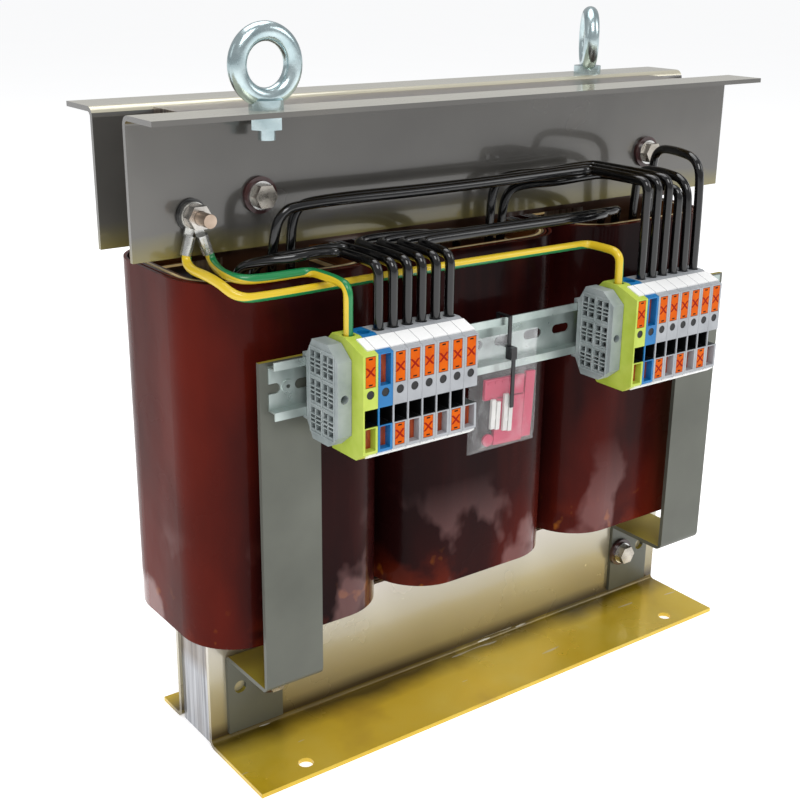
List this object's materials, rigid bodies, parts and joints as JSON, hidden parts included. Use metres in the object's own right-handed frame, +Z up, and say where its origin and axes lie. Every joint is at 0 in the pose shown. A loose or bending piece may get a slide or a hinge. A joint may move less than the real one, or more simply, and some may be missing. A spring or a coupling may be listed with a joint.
{
  "type": "dry type transformer",
  "caption": "Open-frame three-phase dry type transformer with bolted yoke clamps, lifting eyes and push-in terminals.",
  "frame": {"origin": "centre of the core's base, on the surface it stands on", "axes": "+X along the yokes to the right, -Y to the front (terminal side), +Z up"},
  "size_m": [0.488, 0.19, 0.462],
  "materials": {
    "core_steel": "gloss",
    "upper_clamp_paint": "gloss",
    "base_clamp_zinc": "gloss",
    "coil_varnish": "gloss",
    "bracket_zinc": "satin",
    "rail_zinc": "satin",
    "end_clamp_plastic": "matte",
    "earth_plastic": "matte",
    "neutral_plastic": "matte",
    "phase_plastic": "matte",
    "marker_plastic": "matte",
    "eyebolt_zinc": "gloss",
    "bolt_zinc": "satin",
    "washer_steel": "gloss",
    "insulator_fibre": "satin",
    "stud_brass": "satin",
    "lug_tin": "gloss",
    "earth_insulation": "satin",
    "lead_insulation": "gloss",
    "tie_nylon": "satin",
    "bag_film": "gloss",
    "bridge_plastic": "matte",
    "lever_plastic": "matte"
  },
  "bodies": {
    "frame": {"accessory_bag": "bag_film", "black_leads_left": "lead_insulation", "black_leads_right": "lead_insulation", "cable_lugs": "lug_tin", "cable_tie": "tie_nylon", "clamp_bolts": "bolt_zinc", "clamp_nuts": "bolt_zinc", "coil_left": "coil_varnish", "coil_middle": "coil_varnish", "coil_right": "coil_varnish", "core_lower_yoke_and_legs": "core_steel", "core_upper_yoke": "core_steel", "din_rail": "rail_zinc", "earth_nuts": "stud_brass", "earth_stud": "stud_brass", "earth_terminal_left": "earth_plastic", "earth_terminal_right": "earth_plastic", "earth_wire_left": "earth_insulation", "earth_wire_right": "earth_insulation", "end_clamp_left": "end_clamp_plastic", "end_clamp_right": "end_clamp_plastic", "eyebolt_left": "eyebolt_zinc", "eyebolt_nuts": "eyebolt_zinc", "eyebolt_right": "eyebolt_zinc", "insulating_washers": "insulator_fibre", "lower_clamp_back": "base_clamp_zinc", "lower_clamp_front": "base_clamp_zinc", "marker_strips": "marker_plastic", "neutral_terminal_left": "neutral_plastic", "neutral_terminal_right": "neutral_plastic", "phase_terminals_left": "phase_plastic", "phase_terminals_right": "phase_plastic", "plug_in_bridges": "bridge_plastic", "rail_rivets": "rail_zinc", "steel_washers": "washer_steel", "terminal_bracket_left": "bracket_zinc", "terminal_bracket_right": "bracket_zinc", "upper_clamp_back": "upper_clamp_paint", "upper_clamp_front": "upper_clamp_paint"},
    "lever_left_lower_1_body": {"lever_left_lower_1": "lever_plastic"},
    "lever_left_lower_3_body": {"lever_left_lower_3": "lever_plastic"},
    "lever_left_lower_5_body": {"lever_left_lower_5": "lever_plastic"},
    "lever_left_upper_1_body": {"lever_left_upper_1": "lever_plastic"},
    "lever_left_upper_2_body": {"lever_left_upper_2": "lever_plastic"},
    "lever_left_upper_3_body": {"lever_left_upper_3": "lever_plastic"},
    "lever_left_upper_4_body": {"lever_left_upper_4": "lever_plastic"},
    "lever_left_upper_5_body": {"lever_left_upper_5": "lever_plastic"},
    "lever_left_upper_6_body": {"lever_left_upper_6": "lever_plastic"},
    "lever_left_upper_earth_body": {"lever_left_upper_earth": "lever_plastic"},
    "lever_right_lower_1_body": {"lever_right_lower_1": "lever_plastic"},
    "lever_right_lower_3_body": {"lever_right_lower_3": "lever_plastic"},
    "lever_right_lower_5_body": {"lever_right_lower_5": "lever_plastic"},
    "lever_right_upper_1_body": {"lever_right_upper_1": "lever_plastic"},
    "lever_right_upper_2_body": {"lever_right_upper_2": "lever_plastic"},
    "lever_right_upper_3_body": {"lever_right_upper_3": "lever_plastic"},
    "lever_right_upper_4_body": {"lever_right_upper_4": "lever_plastic"},
    "lever_right_upper_5_body": {"lever_right_upper_5": "lever_plastic"},
    "lever_right_upper_6_body": {"lever_right_upper_6": "lever_plastic"},
    "lever_right_upper_earth_body": {"lever_right_upper_earth": "lever_plastic"}
  },
  "joints": [
    {"name": "lever_left_lower_1_press", "type": "slide", "parent": "frame", "child": "lever_left_lower_1_body", "axis": [0, 1, 0], "range_m": [0, 0.005]},
    {"name": "lever_left_lower_3_press", "type": "slide", "parent": "frame", "child": "lever_left_lower_3_body", "axis": [0, 1, 0], "range_m": [0, 0.005]},
    {"name": "lever_left_lower_5_press", "type": "slide", "parent": "frame", "child": "lever_left_lower_5_body", "axis": [0, 1, 0], "range_m": [0, 0.005]},
    {"name": "lever_left_upper_1_press", "type": "slide", "parent": "frame", "child": "lever_left_upper_1_body", "axis": [0, 1, 0], "range_m": [0, 0.005]},
    {"name": "lever_left_upper_2_press", "type": "slide", "parent": "frame", "child": "lever_left_upper_2_body", "axis": [0, 1, 0], "range_m": [0, 0.005]},
    {"name": "lever_left_upper_3_press", "type": "slide", "parent": "frame", "child": "lever_left_upper_3_body", "axis": [0, 1, 0], "range_m": [0, 0.005]},
    {"name": "lever_left_upper_4_press", "type": "slide", "parent": "frame", "child": "lever_left_upper_4_body", "axis": [0, 1, 0], "range_m": [0, 0.005]},
    {"name": "lever_left_upper_5_press", "type": "slide", "parent": "frame", "child": "lever_left_upper_5_body", "axis": [0, 1, 0], "range_m": [0, 0.005]},
    {"name": "lever_left_upper_6_press", "type": "slide", "parent": "frame", "child": "lever_left_upper_6_body", "axis": [0, 1, 0], "range_m": [0, 0.005]},
    {"name": "lever_left_upper_earth_press", "type": "slide", "parent": "frame", "child": "lever_left_upper_earth_body", "axis": [0, 1, 0], "range_m": [0, 0.005]},
    {"name": "lever_right_lower_1_press", "type": "slide", "parent": "frame", "child": "lever_right_lower_1_body", "axis": [0, 1, 0], "range_m": [0, 0.005]},
    {"name": "lever_right_lower_3_press", "type": "slide", "parent": "frame", "child": "lever_right_lower_3_body", "axis": [0, 1, 0], "range_m": [0, 0.005]},
    {"name": "lever_right_lower_5_press", "type": "slide", "parent": "frame", "child": "lever_right_lower_5_body", "axis": [0, 1, 0], "range_m": [0, 0.005]},
    {"name": "lever_right_upper_1_press", "type": "slide", "parent": "frame", "child": "lever_right_upper_1_body", "axis": [0, 1, 0], "range_m": [0, 0.005]},
    {"name": "lever_right_upper_2_press", "type": "slide", "parent": "frame", "child": "lever_right_upper_2_body", "axis": [0, 1, 0], "range_m": [0, 0.005]},
    {"name": "lever_right_upper_3_press", "type": "slide", "parent": "frame", "child": "lever_right_upper_3_body", "axis": [0, 1, 0], "range_m": [0, 0.005]},
    {"name": "lever_right_upper_4_press", "type": "slide", "parent": "frame", "child": "lever_right_upper_4_body", "axis": [0, 1, 0], "range_m": [0, 0.005]},
    {"name": "lever_right_upper_5_press", "type": "slide", "parent": "frame", "child": "lever_right_upper_5_body", "axis": [0, 1, 0], "range_m": [0, 0.005]},
    {"name": "lever_right_upper_6_press", "type": "slide", "parent": "frame", "child": "lever_right_upper_6_body", "axis": [0, 1, 0], "range_m": [0, 0.005]},
    {"name": "lever_right_upper_earth_press", "type": "slide", "parent": "frame", "child": "lever_right_upper_earth_body", "axis": [0, 1, 0], "range_m": [0, 0.005]}
  ]
}
